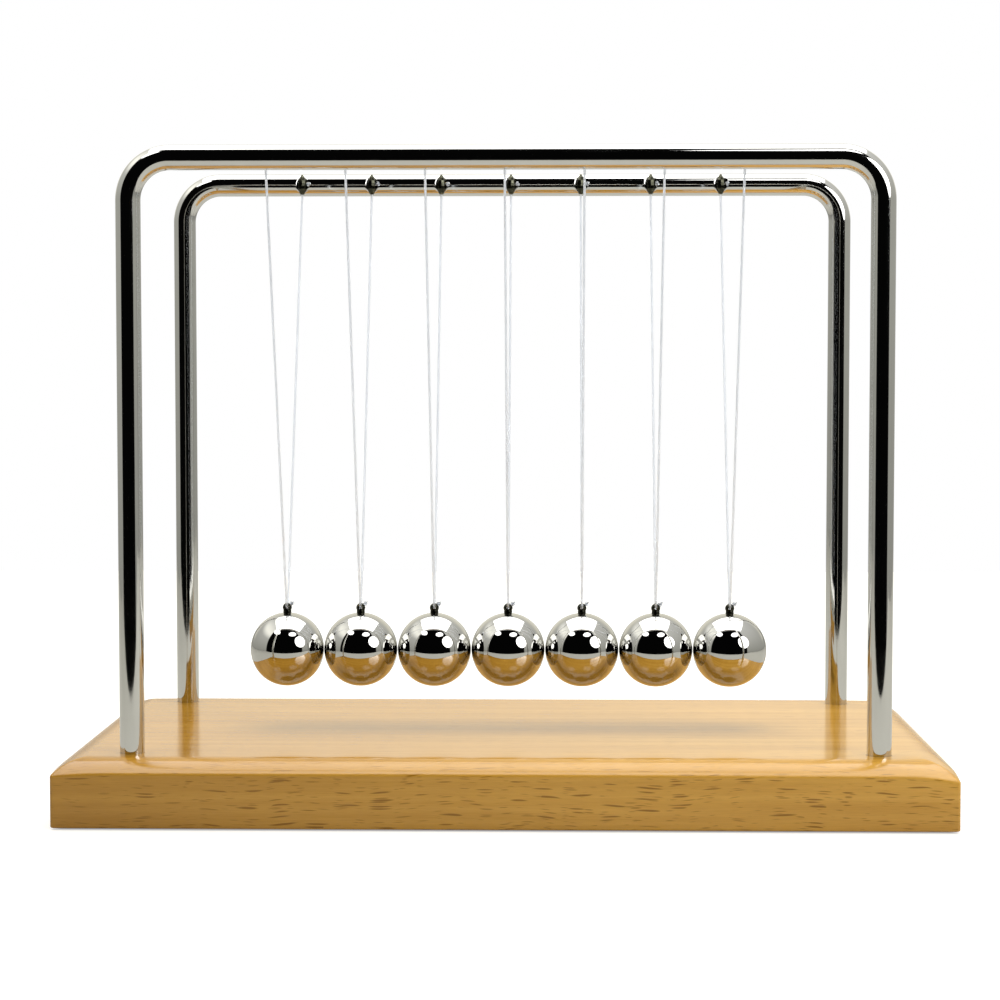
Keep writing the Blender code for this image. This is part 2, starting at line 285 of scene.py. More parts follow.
def noise_value(tree, vector, scale, detail=4.0, roughness=0.5):
    """Noise value from a vector."""
    return noise(tree, vector, scale, detail, roughness).outputs["Fac"]


def stretched_noise(tree, vector, scales, detail=4.0, roughness=0.5):
    """Noise value from a vector scaled along its axes."""
    return noise_value(tree, stretched(tree, vector, scales), 1.0, detail, roughness)


def split(tree, vector):
    """X, Y and Z of a vector, as sockets."""
    node = tree.nodes.new("ShaderNodeSeparateXYZ")
    tree.links.new(vector, node.inputs["Vector"])
    return node.outputs["X"], node.outputs["Y"], node.outputs["Z"]


def colour_ramp(tree, factor, *stops):
    """Colour from a factor, through (position, (r, g, b)) stops."""
    node = tree.nodes.new("ShaderNodeValToRGB")
    elements = node.color_ramp.elements
    while len(elements) < len(stops):
        elements.new(0.5)
    for element, (position, colour) in zip(elements, stops):
        element.position = position
        element.color = solid(colour)
    tree.links.new(factor, node.inputs["Fac"])
    return node.outputs["Color"]


def stretched(tree, vector, scale, place=(0.0, 0.0, 0.0)):
    """A vector scaled along its axes."""
    node = tree.nodes.new("ShaderNodeMapping")
    node.inputs["Scale"].default_value = scale
    node.inputs["Location"].default_value = place
    tree.links.new(vector, node.inputs["Vector"])
    return node.outputs["Vector"]


def mixed(tree, factor, first, second, blend="MIX"):
    """Mix of two colours."""
    node = tree.nodes.new("ShaderNodeMix")
    node.data_type = "RGBA"
    node.blend_type = blend
    inputs = [socket for socket in node.inputs if socket.enabled]
    for socket, value in zip(inputs, (factor, first, second)):
        feed(tree, value, socket)
    return next(socket for socket in node.outputs if socket.enabled)


def remapped(tree, value, from_low, from_high, to_low, to_high, smooth=False):
    """A value moved from one range to another."""
    node = tree.nodes.new("ShaderNodeMapRange")
    if smooth:
        node.interpolation_type = "SMOOTHSTEP"
    names = ("Value", "From Min", "From Max", "To Min", "To Max")
    for name, number in zip(names, (value, from_low, from_high, to_low, to_high)):
        feed(tree, number, node.inputs[name])
    return node.outputs["Result"]


def solid(colour):
    """A colour with full alpha."""
    return (*colour, 1.0)


def calculated(tree, operation, first, second=0.0):
    """Result of one math node."""
    node = tree.nodes.new("ShaderNodeMath")
    node.operation = operation
    feed(tree, first, node.inputs[0])
    feed(tree, second, node.inputs[1])
    return node.outputs["Value"]


def product(tree, first, second):
    """Product of two values."""
    return calculated(tree, "MULTIPLY", first, second)


def bumped(tree, height, strength, distance):
    """Normal bent by a height value."""
    node = tree.nodes.new("ShaderNodeBump")
    node.inputs["Strength"].default_value = strength
    node.inputs["Distance"].default_value = distance
    tree.links.new(height, node.inputs["Height"])
    return node.outputs["Normal"]


def dimmed(colour, share):
    """A colour with each channel multiplied by a share."""
    return tuple(share * channel for channel in colour)


# ---------------------------------------------------------------- materials

# Noise scales count features per metre. A scale per axis stretches them.
HAZE_SCALE = 70.0
SCRATCH_SCALES = (900.0, 60.0, 900.0)
DENT_SCALE = 1100.0
RUBBER_GRAIN_SCALE = 1500.0
NYLON_CLOUD_SCALE = 120.0
NYLON_TRANSMISSION = 0.72
NYLON_IOR = 1.5


def plated_metal(name, colour, roughness):
    """Mirror-bright metal with a breath of polishing haze and a few hair-fine scratches."""
    material, tree, shader, position = new_material(name)
    haze = noise_value(tree, position, HAZE_SCALE, detail=6.0, roughness=0.6)
    scratches = stretched_noise(tree, position, SCRATCH_SCALES, detail=2.0)
    tint = colour_ramp(tree, haze, (0.3, dimmed(colour, 0.95)), (0.7, colour))
    tree.links.new(tint, shader.inputs["Base Color"])
    gloss = remapped(tree, haze, 0.3, 0.8, roughness * 0.6, roughness * 1.6)
    tree.links.new(gloss, shader.inputs["Roughness"])
    shader.inputs["Metallic"].default_value = 1.0
    tree.links.new(bumped(tree, scratches, 0.02, 0.00002), shader.inputs["Normal"])
    return material


def blackened_steel(name, colour, worn, roughness):
    """Dark oiled steel with small dents and lighter worn specks."""
    material, tree, shader, position = new_material(name)
    specks = noise_value(tree, position, DENT_SCALE, detail=5.0, roughness=0.65)
    tint = colour_ramp(tree, specks, (0.40, colour), (0.60, dimmed(colour, 1.8)), (0.74, worn))
    tree.links.new(tint, shader.inputs["Base Color"])
    shader.inputs["Metallic"].default_value = 1.0
    gloss = remapped(tree, specks, 0.3, 0.7, roughness * 0.7, roughness * 1.5)
    tree.links.new(gloss, shader.inputs["Roughness"])
    tree.links.new(bumped(tree, specks, 0.3, 0.00008), shader.inputs["Normal"])
    return material


BEECH_PALE = (0.765, 0.420, 0.074)
BEECH_DEEP = (0.650, 0.335, 0.046)
BEECH_FLECK = (0.280, 0.120, 0.004)
BEECH_SHADE = (0.90, 0.87, 0.82)
# Painted light and shade along the board: its left end is tinted darker and its right end paler, as the lamp
# at the right lights that end more.
BEECH_LEFT_PAINTED_SHADE = (0.78, 0.74, 0.60)
BEECH_MIDDLE_PAINTED_SHADE = (0.94, 0.93, 0.88)
BEECH_RIGHT_PAINTED_LIGHT = (1.06, 1.07, 1.12)
NO_TINT = (1.0, 1.0, 1.0)
DRIFT_SCALES = (5.0, 40.0, 40.0)
BAND_SCALES = (5.0, 170.0, 260.0)
FIBRE_SCALES = (180.0, 4200.0, 4200.0)
FIBRE_SHARE = 0.7
GRAIN_WANDER_SCALES = (30.0, 30.0, 30.0)
GRAIN_STRAIGHTNESS = 0.994
LONG_FLECK_SCALES = (95.0, 1100.0, 1250.0)
SHORT_FLECK_SCALES = (150.0, 1700.0, 1900.0)
SHORT_FLECK_SHARE = 0.70
LEAST_FLECK = -0.12
FLECK_DEPTH = 0.90
FLECKS_ON_TOP = 0.35
LACQUER_ROUGHNESS = 0.14
LACQUER_IOR = 1.5


def fleck_mask(tree, position, scales, place, most, soft):
    """Short spindle-shaped flecks, one at most in each stretched cell. Many cells stay empty."""
    node = tree.nodes.new("ShaderNodeTexVoronoi")
    node.inputs["Scale"].default_value = 1.0
    tree.links.new(stretched(tree, position, scales, place), node.inputs["Vector"])
    chance = tree.nodes.new("ShaderNodeSeparateColor")
    tree.links.new(node.outputs["Color"], chance.inputs["Color"])
    size = remapped(tree, chance.outputs["Red"], 0.0, 1.0, LEAST_FLECK, most)
    inside = calculated(tree, "SUBTRACT", size, node.outputs["Distance"])
    return remapped(tree, inside, 0.0, soft, 0.0, 1.0, smooth=True)


def beech_flecks(tree, position):
    """Long and short flecks along a slightly wandering grain. They show less on the upward faces."""
    wander = noise(tree, stretched(tree, position, GRAIN_WANDER_SCALES), 1.0, detail=2.0).outputs["Color"]
    grain = mixed(tree, GRAIN_STRAIGHTNESS, wander, position)
    long_flecks = fleck_mask(tree, grain, LONG_FLECK_SCALES, (0.3, 0.1, 0.7), 0.50, 0.22)
    short_flecks = fleck_mask(tree, grain, SHORT_FLECK_SCALES, (5.3, 2.1, 3.7), 0.50, 0.24)
    short_flecks = product(tree, short_flecks, SHORT_FLECK_SHARE)
    flecks = calculated(tree, "MAXIMUM", long_flecks, short_flecks)
    _, _, upright = split(tree, tree.nodes.new("ShaderNodeTexCoord").outputs["Normal"])
    fading = remapped(tree, upright, 0.3, 0.9, 1.0, FLECKS_ON_TOP)
    return product(tree, flecks, fading)


def beech_wood():
    """Lacquered beech: soft growth bands along X, fine fibre, short dark flecks, painted light and shade
    that darkens the left end and brightens the right end, and a clear satin coat.
    """
    material, tree, shader, position = new_material("lacquered_beech")
    bands = stretched_noise(tree, position, BAND_SCALES, detail=6.0, roughness=0.6)
    tone = colour_ramp(tree, bands, (0.34, BEECH_DEEP), (0.66, BEECH_PALE))
    drift = stretched_noise(tree, position, DRIFT_SCALES, detail=3.0)
    drift_tint = colour_ramp(tree, drift, (0.35, BEECH_SHADE), (0.65, NO_TINT))
    tone = mixed(tree, 1.0, tone, drift_tint, "MULTIPLY")
    fibre = stretched_noise(tree, position, FIBRE_SCALES, detail=3.0)
    fibre_tint = colour_ramp(tree, fibre, (0.35, BEECH_SHADE), (0.62, NO_TINT))
    tone = mixed(tree, FIBRE_SHARE, tone, fibre_tint, "MULTIPLY")

    # Painted light and shade: the colour is multiplied darker towards the left end and paler towards the
    # right end of the board.
    along, _, _ = split(tree, position)
    along = remapped(tree, along, board_low.x, board_high.x, 0.0, 1.0)
    painted_light_across_board = colour_ramp(tree, along, (0.0, BEECH_LEFT_PAINTED_SHADE), (0.5, BEECH_MIDDLE_PAINTED_SHADE), (1.0, BEECH_RIGHT_PAINTED_LIGHT))
    tone = mixed(tree, 1.0, tone, painted_light_across_board, "MULTIPLY")
    flecks = beech_flecks(tree, position)
    tone = mixed(tree, product(tree, flecks, FLECK_DEPTH), tone, solid(BEECH_FLECK))

    tree.links.new(tone, shader.inputs["Base Color"])
    tree.links.new(remapped(tree, bands, 0.3, 0.7, 0.42, 0.52), shader.inputs["Roughness"])
    shader.inputs["Specular IOR Level"].default_value = 0.0
    shader.inputs["Coat Weight"].default_value = 1.0
    shader.inputs["Coat Roughness"].default_value = LACQUER_ROUGHNESS
    shader.inputs["Coat IOR"].default_value = LACQUER_IOR
    tree.links.new(bumped(tree, flecks, 0.05, 0.0002), shader.inputs["Normal"])
    return material


def clear_nylon():
    """Milky monofilament that lets some light through."""
    material, tree, shader, position = new_material("clear_nylon")
    cloud = noise_value(tree, position, NYLON_CLOUD_SCALE, detail=2.0)
    tint = colour_ramp(tree, cloud, (0.3, (0.86, 0.89, 0.93)), (0.7, (0.92, 0.95, 0.99)))
    tree.links.new(tint, shader.inputs["Base Color"])
    tree.links.new(remapped(tree, cloud, 0.3, 0.7, 0.35, 0.45), shader.inputs["Roughness"])
    shader.inputs["Transmission Weight"].default_value = NYLON_TRANSMISSION
    shader.inputs["IOR"].default_value = NYLON_IOR
    return material


def moulded_rubber():
    """Matte black rubber with a fine skin texture."""
    material, tree, shader, position = new_material("black_rubber")
    grain = noise_value(tree, position, RUBBER_GRAIN_SCALE)
    tint = colour_ramp(tree, grain, (0.3, (0.018, 0.018, 0.018)), (0.7, (0.04, 0.04, 0.04)))
    tree.links.new(tint, shader.inputs["Base Color"])
    tree.links.new(remapped(tree, grain, 0.3, 0.7, 0.7, 0.9), shader.inputs["Roughness"])
    tree.links.new(bumped(tree, grain, 0.3, 0.0001), shader.inputs["Normal"])
    return material


beech = beech_wood()
rod_chrome = plated_metal("rod_chrome", (0.66, 0.655, 0.63), 0.055)
ball_steel = plated_metal("ball_steel", (0.585, 0.58, 0.555), 0.018)
dark_steel = blackened_steel("dark_steel", (0.040, 0.040, 0.028), (0.30, 0.30, 0.22), 0.15)
lug_steel = blackened_steel("lug_steel", (0.020, 0.020, 0.015), (0.10, 0.10, 0.075), 0.20)
zinc = plated_metal("plated_screw", (0.60, 0.60, 0.57), 0.24)
nylon = clear_nylon()
rubber = moulded_rubber()

# ---------------------------------------------------------------- board

BOARD_CORNER_RADIUS = 0.001
BOARD_EDGE_WIDTH = 0.010
BOARD_EDGE_DROP = 0.0042
BOARD_CREASE_ROUND = 0.0005
BOARD_BOTTOM_ROUND = 0.0006
SANDED_REACH = 0.016
SANDED_FADE_HEIGHT = 0.003
SANDED_DROPS = {(1, -1): 0.0016, (-1, -1): 0.0007, (1, 1): 0.0009, (-1, 1): 0.0009}
SOCKET_CLEARANCE = 0.00008
SOCKET_DEPTH = 0.009
COUNTERBORE_RADIUS = 0.0047
COUNTERBORE_DEPTH = 0.005
SCREW_HOLE_RADIUS = 0.0023
PAD_CLEARANCE = 0.0002
CUT_MARGIN = 0.002
BOARD_HOLE_SIDES = 64


def board_profile():
    """(inset, height) pairs: eased foot, upright side, softened crease, wide shallow arc."""
    profile = []
    steps = 5
    for i in range(steps):
        angle = 0.5 * math.pi * i / (steps - 1)
        inset = BOARD_BOTTOM_ROUND * (1.0 - math.sin(angle))
        profile.append((inset, board_low.z + BOARD_BOTTOM_ROUND * (1.0 - math.cos(angle))))
    sweep = 2.0 * math.atan2(BOARD_EDGE_DROP, BOARD_EDGE_WIDTH)
    radius = BOARD_EDGE_WIDTH / math.sin(sweep)

    def on_arc(angle):
        inset = BOARD_EDGE_WIDTH - radius * math.sin(angle)
        return Vector((inset, board_high.z - radius * (1.0 - math.cos(angle))))

    crease = Vector((0.0, board_high.z - BOARD_EDGE_DROP))
    start = crease - Vector((0.0, BOARD_CREASE_ROUND))
    arc_from = sweep - BOARD_CREASE_ROUND / radius
    end = on_arc(arc_from)
    for i in range(steps):
        t = i / steps
        profile.append(tuple(start * (1 - t) ** 2 + crease * (2 * t * (1 - t)) + end * t * t))
    arc_steps = 22
    for i in range(arc_steps + 1):
        profile.append(tuple(on_arc(arc_from * (1.0 - i / arc_steps))))
    return profile


def board_outline(half_x, half_y):
    """Outline with softened corners and extra points near them.

    Each entry is a point, its share of the way out of its corner's sanded reach, and the corner's signs.
    """
    straights = (0.0, 0.08, 0.18, 0.3, 0.45, 0.65, 1.0)
    corner_steps = 6
    outline = []
    for sign_x, sign_y, start in ((1, 1, 0.0), (-1, 1, 0.5), (-1, -1, 1.0), (1, -1, 1.5)):
        centre = Vector((sign_x * (half_x - BOARD_CORNER_RADIUS), sign_y * (half_y - BOARD_CORNER_RADIUS)))
        arc = []
        for i in range(corner_steps + 1):
            angle = math.pi * (start + 0.5 * i / corner_steps)
            arc.append(centre + BOARD_CORNER_RADIUS * Vector((math.cos(angle), math.sin(angle))))
        into = Vector((math.sin(math.pi * start), -math.cos(math.pi * start)))
        onward = Vector((-math.cos(math.pi * start), -math.sin(math.pi * start)))
        for share in reversed(straights[1:]):
            outline.append((arc[0] + into * (share * SANDED_REACH), share, (sign_x, sign_y)))
        outline += [(point, 0.0, (sign_x, sign_y)) for point in arc]
        for share in straights[1:]:
            outline.append((arc[-1] + onward * (share * SANDED_REACH), share, (sign_x, sign_y)))
    return outline


def make_board():
    """The board with its arched edge, sanded corners, rod sockets, counterbores and pad recesses."""
    half = (board_high - board_low) / 2
    crease_z = board_high.z - BOARD_EDGE_DROP
    bm = bmesh.new()
    rings = []
    for inset, height in board_profile():
        ring = []
        lift = max(0.0, min(1.0, (height - crease_z) / SANDED_FADE_HEIGHT + 1.0))
        fade = 1.0 - max(0.0, min(1.0, inset / BOARD_EDGE_WIDTH))
        for point, share, corner in board_outline(half.x - inset, half.y - inset):
            drop = SANDED_DROPS[corner] * (1.0 - share) ** 2 * lift * fade
            ring.append(bm.verts.new((point.x, point.y, height - drop)))
        rings.append(ring)
    skin(bm, rings)
    board = finish_mesh("beech_board", bm, beech)

    tool = bmesh.new()
    socket_floor = board_high.z - SOCKET_DEPTH
    counterbore_top = board_low.z + COUNTERBORE_DEPTH
    socket_radius = rod_radius + SOCKET_CLEARANCE
    socket_profile = [
        (COUNTERBORE_RADIUS, board_low.z - CUT_MARGIN),
        (COUNTERBORE_RADIUS, counterbore_top),
        (SCREW_HOLE_RADIUS, counterbore_top),
        (SCREW_HOLE_RADIUS, socket_floor),
        (socket_radius, socket_floor),
        (socket_radius, board_high.z + CUT_MARGIN),
    ]
    recess_radius = pad_radius + PAD_CLEARANCE
    recess_profile = [(recess_radius, board_low.z - CUT_MARGIN), (recess_radius, pad_top + PAD_CLEARANCE)]
    for row, sign_y in ROWS:
        for side, sign_x in SIDES:
            pad = middle("foot_pad_" + row + "_" + side)
            lathe(tool, socket_profile, BOARD_HOLE_SIDES, (sign_x * rod_half_span, sign_y * rod_row_y, 0.0))
            lathe(tool, recess_profile, BOARD_HOLE_SIDES, (pad.x, pad.y, 0.0))
    cut(board, "board_holes", tool)
    sharpen(board, 30.0)
    place_piece(board, "frame", "beech", "base_board")


# ---------------------------------------------------------------- rods

ROD_SIDES = 72
ROD_BEND_RADIUS = 0.0135
ROD_BEND_STEPS = 32
NOTCH_HALF_ANGLE = math.radians(52.0)
NOTCH_ROUND = 0.0004
NOTCH_REACH = 0.0036
NOTCH_STEP = 0.00012
ROD_SHARP_DEGREES = 55.0
SCREW_RADIUS = 0.002
SCREW_HOLE_TOP = board_low.z + 0.0205


def soft_min(first, second, blend):
    """The smaller of two numbers, with a rounded change-over."""
    share = max(blend - abs(first - second), 0.0) / blend
    return min(first, second) - share * share * blend * 0.25


def rod_frames(y):
    """(point, direction, bar x or None) along one rod, from the left foot to the right foot."""
    half = rod_half_span - ROD_BEND_RADIUS
    frames = [(Vector((-rod_half_span, y, rod_low.z)), Vector((0, 0, 1)), None)]
    bends = {-1: [], 1: []}
    for sign, start in ((-1, 1.0), (1, 0.5)):
        centre = Vector((sign * half, y, rod_axis_z - ROD_BEND_RADIUS))
        for i in range(ROD_BEND_STEPS + 1):
            angle = math.pi * (start - 0.5 * i / ROD_BEND_STEPS)
            radial = Vector((math.cos(angle), 0, math.sin(angle)))
            along = Vector((math.sin(angle), 0, -math.cos(angle)))
            bends[sign].append((centre + radial * ROD_BEND_RADIUS, along, None))
    frames += bends[-1]
    steps = int(NOTCH_REACH / NOTCH_STEP)
    for x in ball_xs:
        for i in range(-steps, steps + 1):
            place = x + NOTCH_STEP * i
            frames.append((Vector((place, y, rod_axis_z)), Vector((1, 0, 0)), place))
    frames += bends[1]
    frames.append((Vector((rod_half_span, y, rod_low.z)), Vector((0, 0, -1)), None))
    return frames


def make_rod(row, sign_y):
    """A bent rod. A V notch crosses the inner face of its bar at each anchor, and each leg is drilled."""
    y = sign_y * rod_row_y
    notch_floor = rod_radius - anchor_radius
    inward = Vector((0, -sign_y, 0))
    bm = bmesh.new()
    rings = []
    for point, along, bar_x in rod_frames(y):
        side = along.cross(inward).normalized()
        limit = None
        if bar_x is not None:
            nearest = min(abs(bar_x - x) for x in ball_xs)
            limit = notch_floor + nearest / math.tan(NOTCH_HALF_ANGLE)
        ring = []
        for k in range(ROD_SIDES):
            angle = 2.0 * math.pi * k / ROD_SIDES
            depth = rod_radius * math.cos(angle)
            if limit is not None:
                depth = soft_min(depth, limit, NOTCH_ROUND)
            ring.append(bm.verts.new(point + inward * depth + side * (rod_radius * math.sin(angle))))
        rings.append(ring)
    skin(bm, rings)
    rod = finish_mesh("chrome_rod_" + row, bm, rod_chrome)
    tool = bmesh.new()
    hole_profile = [(SCREW_HOLE_RADIUS, rod_low.z - CUT_MARGIN), (SCREW_HOLE_RADIUS, SCREW_HOLE_TOP)]
    for _, sign_x in SIDES:
        lathe(tool, hole_profile, 32, (sign_x * rod_half_span, y, 0.0))
    cut(rod, "rod_holes", tool)
    sharpen(rod, ROD_SHARP_DEGREES)
    place_piece(rod, "frame", "rod_chrome", row + "_rod")


# ---------------------------------------------------------------- anchors and knots

KNOT_SIZE = 0.0014
KNOT_TUBE_RADIUS = 0.00021
STOPPER_GAP = 0.0006
STOPPER_STAND_OUT = 0.0001
STOPPER_RISE = 0.0002
ANCHOR_TOP_TIP = 0.0003
ANCHOR_BOTTOM_TIP = 0.0007
ANCHOR_FULLNESS = 0.85
ANCHOR_EDGE = 0.00008


def make_anchor(row, sign_y, index):
    """Faceted spindle-shaped peg, finer at its top tip."""
    steps = 7
    profile = []
    for i in range(steps + 1):
        share = -1.0 + 2.0 * i / steps
        tip = ANCHOR_TOP_TIP if share > 0 else ANCHOR_BOTTOM_TIP
        radius = tip + (anchor_radius - tip) * math.cos(0.5 * math.pi * share) ** ANCHOR_FULLNESS
        if abs(share) == 1.0:
            radius = tip
        profile.append((radius, share * anchor_half_height))
    bm = bmesh.new()
    lathe(bm, profile, 8, (ball_xs[index], sign_y * anchor_y, rod_axis_z))
    tag = row + "_" + str(index + 1)
    anchor = finish_mesh("peg_" + tag, bm, dark_steel, smooth=False)
    bevel = anchor.modifiers.new("edge", "BEVEL")
    bevel.width = ANCHOR_EDGE
    bevel.segments = 2
    place_piece(anchor, "frame", "dark_steel", "line_anchor_" + tag)


def make_knot(name, centre, body, turn):
    """Overhand knot: a trefoil of line pulled tight, turned about Y."""
    steps = 54
    trefoil_width = 6.0
    rotation = Matrix.Rotation(turn, 3, "Y")
    points = []
    for i in range(steps):
        t = 2.0 * math.pi * i / steps
        loop_x = math.sin(t) + 2.0 * math.sin(2.0 * t)
        loop_z = math.cos(t) - 2.0 * math.cos(2.0 * t)
        loop = Vector((loop_x, -math.sin(3.0 * t), loop_z))
        points.append(Vector(centre) + rotation @ loop * (KNOT_SIZE / trefoil_width))
    bm = bmesh.new()
    tube(bm, points, KNOT_TUBE_RADIUS, 10, closed=True)
    knot = finish_mesh(name, bm, nylon, sharp_degrees=80.0)
    place_piece(knot, body, "nylon")


def make_stopper(row, sign_y, index):
    """The knot that stops a line beside its peg, at the right of the notch."""
    right_of_peg = ball_xs[index] + anchor_radius + STOPPER_GAP
    inner_face = sign_y * (rod_row_y - rod_radius - STOPPER_STAND_OUT)
    centre = (right_of_peg, inner_face, rod_axis_z + STOPPER_RISE)
    make_knot("stopper_knot_" + row + "_" + str(index + 1), centre, "frame", index)


# ---------------------------------------------------------------- pendulums

BALL_SIDES = 128
BALL_STEPS = 76
LUG_HOLE_RADIUS = 0.0005
LUG_SPIGOT_RADIUS = 0.001
LUG_SPIGOT_LENGTH = 0.0035
SPIGOT_CLEARANCE = 0.0001
HOLE_CHAMFER = 0.00015
LUG_FOOT_RADIUS = 0.0014
LUG_WAIST_RADIUS = 0.00134
LUG_HEAD_RADIUS = 0.0016
LUG_NECK_DROP = 0.0002
LUG_MOUTH_SHARE = 0.86
LUG_FLARE_REACH = 0.0042
LUG_FLARE_RADIUS = 0.0026
FINISHED_LINE_RADIUS = 0.00038
LINE_END_RISE = 0.0001
# Half of a line's bend in its lug: (out from the middle, up from the hole).
LINE_BEND = ((0.0031, 0.0031), (0.0022, 0.0009), (0.0015, 0.0001), (0.0008, 0.0))


def make_ball(index):
    """A round ball, drilled from the top for its lug, with the hole's rim broken."""
    hole_radius = LUG_SPIGOT_RADIUS + SPIGOT_CLEARANCE
    rim_radius = hole_radius + HOLE_CHAMFER
    rim_angle = math.asin(rim_radius / ball_radius)
    rim_height = ball_radius * math.cos(rim_angle)
    hole_floor = ball_radius - LUG_SPIGOT_LENGTH - SPIGOT_CLEARANCE
    profile = [(0.0, -ball_radius)]
    for i in range(1, BALL_STEPS + 1):
        angle = math.pi - (math.pi - rim_angle) * i / BALL_STEPS
        profile.append((ball_radius * math.sin(angle), ball_radius * math.cos(angle)))
    profile += [(hole_radius, rim_height - HOLE_CHAMFER), (hole_radius, hole_floor), (0.0, hole_floor)]
    bm = bmesh.new()
    lathe(bm, profile, BALL_SIDES, (ball_xs[index], 0.0, ball_z))
    number = str(index + 1)
    ball = finish_mesh("steel_ball_" + number, bm, ball_steel, sharp_degrees=30.0)
    place_piece(ball, "pendulum_" + number, "ball_steel", "ball_" + number)


def make_lug(index):
    """Turned eyelet lug: spigot, straight foot, waist and round head with a cross hole."""
    head_z = lug_top - LUG_HEAD_RADIUS
    low_angle = -math.acos(LUG_WAIST_RADIUS / LUG_HEAD_RADIUS)
    profile = [
        (0.0, -LUG_SPIGOT_LENGTH),
        (LUG_SPIGOT_RADIUS, -LUG_SPIGOT_LENGTH),
        (LUG_SPIGOT_RADIUS, -SPIGOT_CLEARANCE / 2),
        (LUG_FOOT_RADIUS, -SPIGOT_CLEARANCE / 2),
        (LUG_FOOT_RADIUS, head_z + LUG_HEAD_RADIUS * math.sin(low_angle) - LUG_NECK_DROP),
    ]
    steps = 16
    for i in range(steps):
        angle = low_angle + (0.5 * math.pi - low_angle) * i / steps
        profile.append((LUG_HEAD_RADIUS * math.cos(angle), head_z + LUG_HEAD_RADIUS * math.sin(angle)))
    profile.append((0.0, lug_top))
    bm = bmesh.new()
    lathe(bm, profile, 48, (ball_xs[index], 0.0, ball_top))
    number = str(index + 1)
    lug = finish_mesh("lug_" + number, bm, lug_steel)
    tool = bmesh.new()
    mouth = LUG_MOUTH_SHARE * LUG_HEAD_RADIUS
    flared = [
        (LUG_FLARE_RADIUS, -LUG_FLARE_REACH),
        (LUG_HOLE_RADIUS, -mouth),
        (LUG_HOLE_RADIUS, mouth),
        (LUG_FLARE_RADIUS, LUG_FLARE_REACH),
    ]
    lathe(tool, flared, 32)
    turn = Matrix.Translation((ball_xs[index], 0.0, hole_z)) @ Matrix.Rotation(0.5 * math.pi, 4, "X")
    bmesh.ops.transform(tool, matrix=turn, verts=tool.verts)
    cut(lug, "lug_hole", tool)
    sharpen(lug, 38.0)
    place_piece(lug, "pendulum_" + number, "dark_steel", "ball_lug_" + number)


def make_line(index):
    """One V of nylon line, from the front anchor through the lug to the rear anchor."""
    x = ball_xs[index]
    half = [Vector((x, out, hole_z + up)) for out, up in LINE_BEND]
    mirrored = [Vector((point.x, -point.y, point.z)) for point in half]
    bend = curve_through(mirrored + list(reversed(half)), 5)
    ends = [Vector((x, side * anchor_y, pivot_z + LINE_END_RISE)) for side in (-1, 1)]
    bm = bmesh.new()
    tube(bm, [ends[0]] + bend + [ends[1]], FINISHED_LINE_RADIUS, 16)
    number = str(index + 1)
    line = finish_mesh("nylon_line_" + number, bm, nylon, sharp_degrees=70.0)
    place_piece(line, "pendulum_" + number, "nylon", "line_" + number)


# From the middle of a lug's hole: the route of the spare end of line, and its knot.
HITCH_ROUTE = (
    (0.0001, 0.0014, 0.0001),
    (0.0008, 0.0016, 0.0006),
    (0.0014, 0.0011, 0.0011),
    (0.0017, 0.0003, 0.0013),
    (0.0019, -0.0004, 0.0016),
    (0.0024, -0.0009, 0.0022),
)
HITCH_KNOT = (0.0016, -0.0002, 0.0014)
FIRST_KNOT_TURN = 0.4
NEXT_KNOT_TURN = 0.7


def make_hitch(index):
    """The spare end of line, from the back of the lug's hole to its knot and tail at the right."""
    hole = Vector((ball_xs[index], 0.0, hole_z))
    points = curve_through([hole + Vector(offset) for offset in HITCH_ROUTE], 6)
    bm = bmesh.new()
    tube(bm, points, KNOT_TUBE_RADIUS, 10)
    number = str(index + 1)
    hitch = finish_mesh("hitch_" + number, bm, nylon, sharp_degrees=70.0)
    place_piece(hitch, "pendulum_" + number, "nylon")
    turn = FIRST_KNOT_TURN + NEXT_KNOT_TURN * index
    make_knot("lug_knot_" + number, hole + Vector(HITCH_KNOT), "pendulum_" + number, turn)


# ---------------------------------------------------------------- screws and pads

SCREW_HEAD_HEIGHT = 0.0026
SCREW_TIP_CHAMFER = 0.0006
RECESS_ARM_WIDTH = 0.0008
RECESS_ARM_LENGTH = 0.0021
RECESS_DEPTH = 0.0013
RECESS_TAPER = 0.55
PAD_EDGE_ROUND = 0.0003


